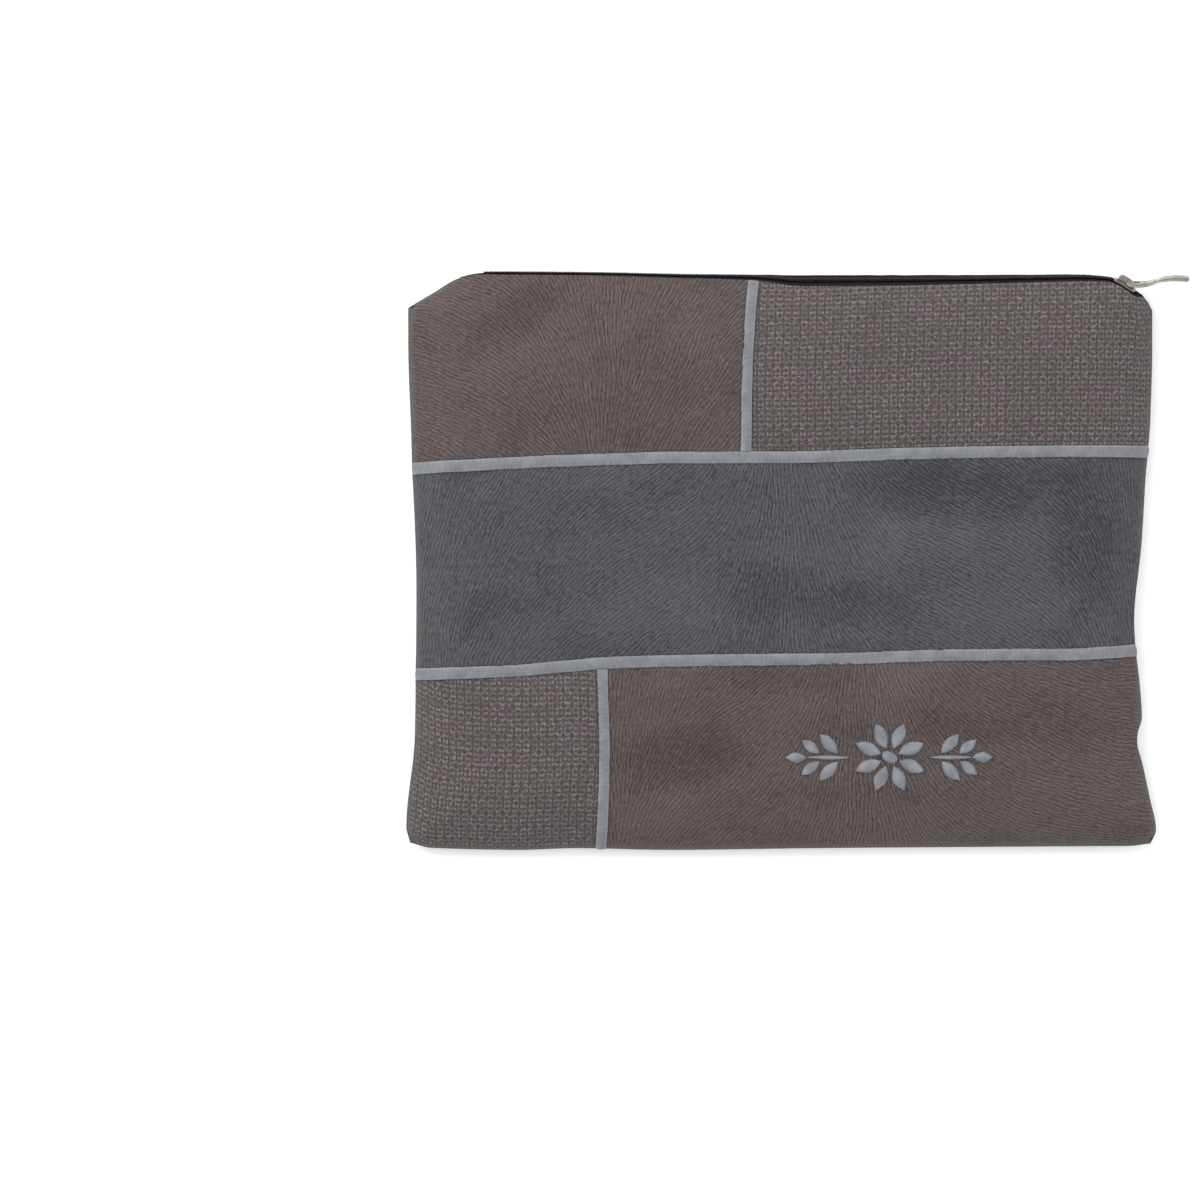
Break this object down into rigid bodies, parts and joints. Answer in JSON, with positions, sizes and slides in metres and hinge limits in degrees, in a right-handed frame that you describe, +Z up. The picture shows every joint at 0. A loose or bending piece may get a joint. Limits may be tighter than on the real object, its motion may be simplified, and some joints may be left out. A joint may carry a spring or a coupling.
{
  "type": "tallit bag",
  "caption": "Flat zipped cloth pouch with a patchwork front, ribbon-covered joins, an embroidered ornament and a wavy metal zip pull.",
  "frame": {"origin": "middle of the flat underside of the back, on the surface that the bag lies on", "axes": "+Z up out of the front, +Y towards the zip, +X towards the slider's end of the zip"},
  "size_m": [0.3784, 0.2797, 0.0258],
  "materials": {
    "brown_suede": "embossed suede cloth",
    "slate_suede": "embossed suede cloth",
    "woven_cloth": "coarse loop weave",
    "back_cloth": "plain matt weave",
    "ribbon": "satin ribbon",
    "zip_tape": "matt woven tape",
    "zip_chain": "satin nylon",
    "nickel": "polished nickel plate",
    "thread": "satin stitch"
  },
  "bodies": {
    "bag": {"upper_left_panel": "brown_suede", "upper_right_panel": "woven_cloth", "middle_band": "slate_suede", "lower_left_panel": "woven_cloth", "lower_right_panel": "brown_suede", "back_panel": "back_cloth", "back_left_edge": "back_cloth", "back_right_edge": "back_cloth", "back_top_edge": "back_cloth", "back_bottom_edge": "back_cloth", "upper_ribbon": "ribbon", "lower_ribbon": "ribbon", "upper_upright_ribbon": "ribbon", "lower_upright_ribbon": "ribbon", "zip_tape_front": "zip_tape", "zip_tape_back": "zip_tape", "zip_chain": "zip_chain", "zip_slider": "nickel", "motif_button": "thread", "motif_petal_1": "thread", "motif_petal_2": "thread", "motif_petal_3": "thread", "motif_petal_4": "thread", "motif_petal_5": "thread", "motif_petal_6": "thread", "motif_petal_7": "thread", "motif_petal_8": "thread", "motif_right_leaf_1": "thread", "motif_right_leaf_2": "thread", "motif_right_leaf_3": "thread", "motif_right_leaf_4": "thread", "motif_right_leaf_5": "thread", "motif_right_stem": "thread", "motif_left_leaf_1": "thread", "motif_left_leaf_2": "thread", "motif_left_leaf_3": "thread", "motif_left_leaf_4": "thread", "motif_left_leaf_5": "thread", "motif_left_stem": "thread"},
    "pull": {"zip_pull": "nickel"}
  },
  "joints": [
    {"name": "pull_hinge", "type": "hinge", "parent": "bag", "child": "pull", "pos_m": [0.16874, 0.13401, 0.00998], "axis": [-0.1519, -0.282, 0.9473], "range_deg": [-27, 100]}
  ]
}
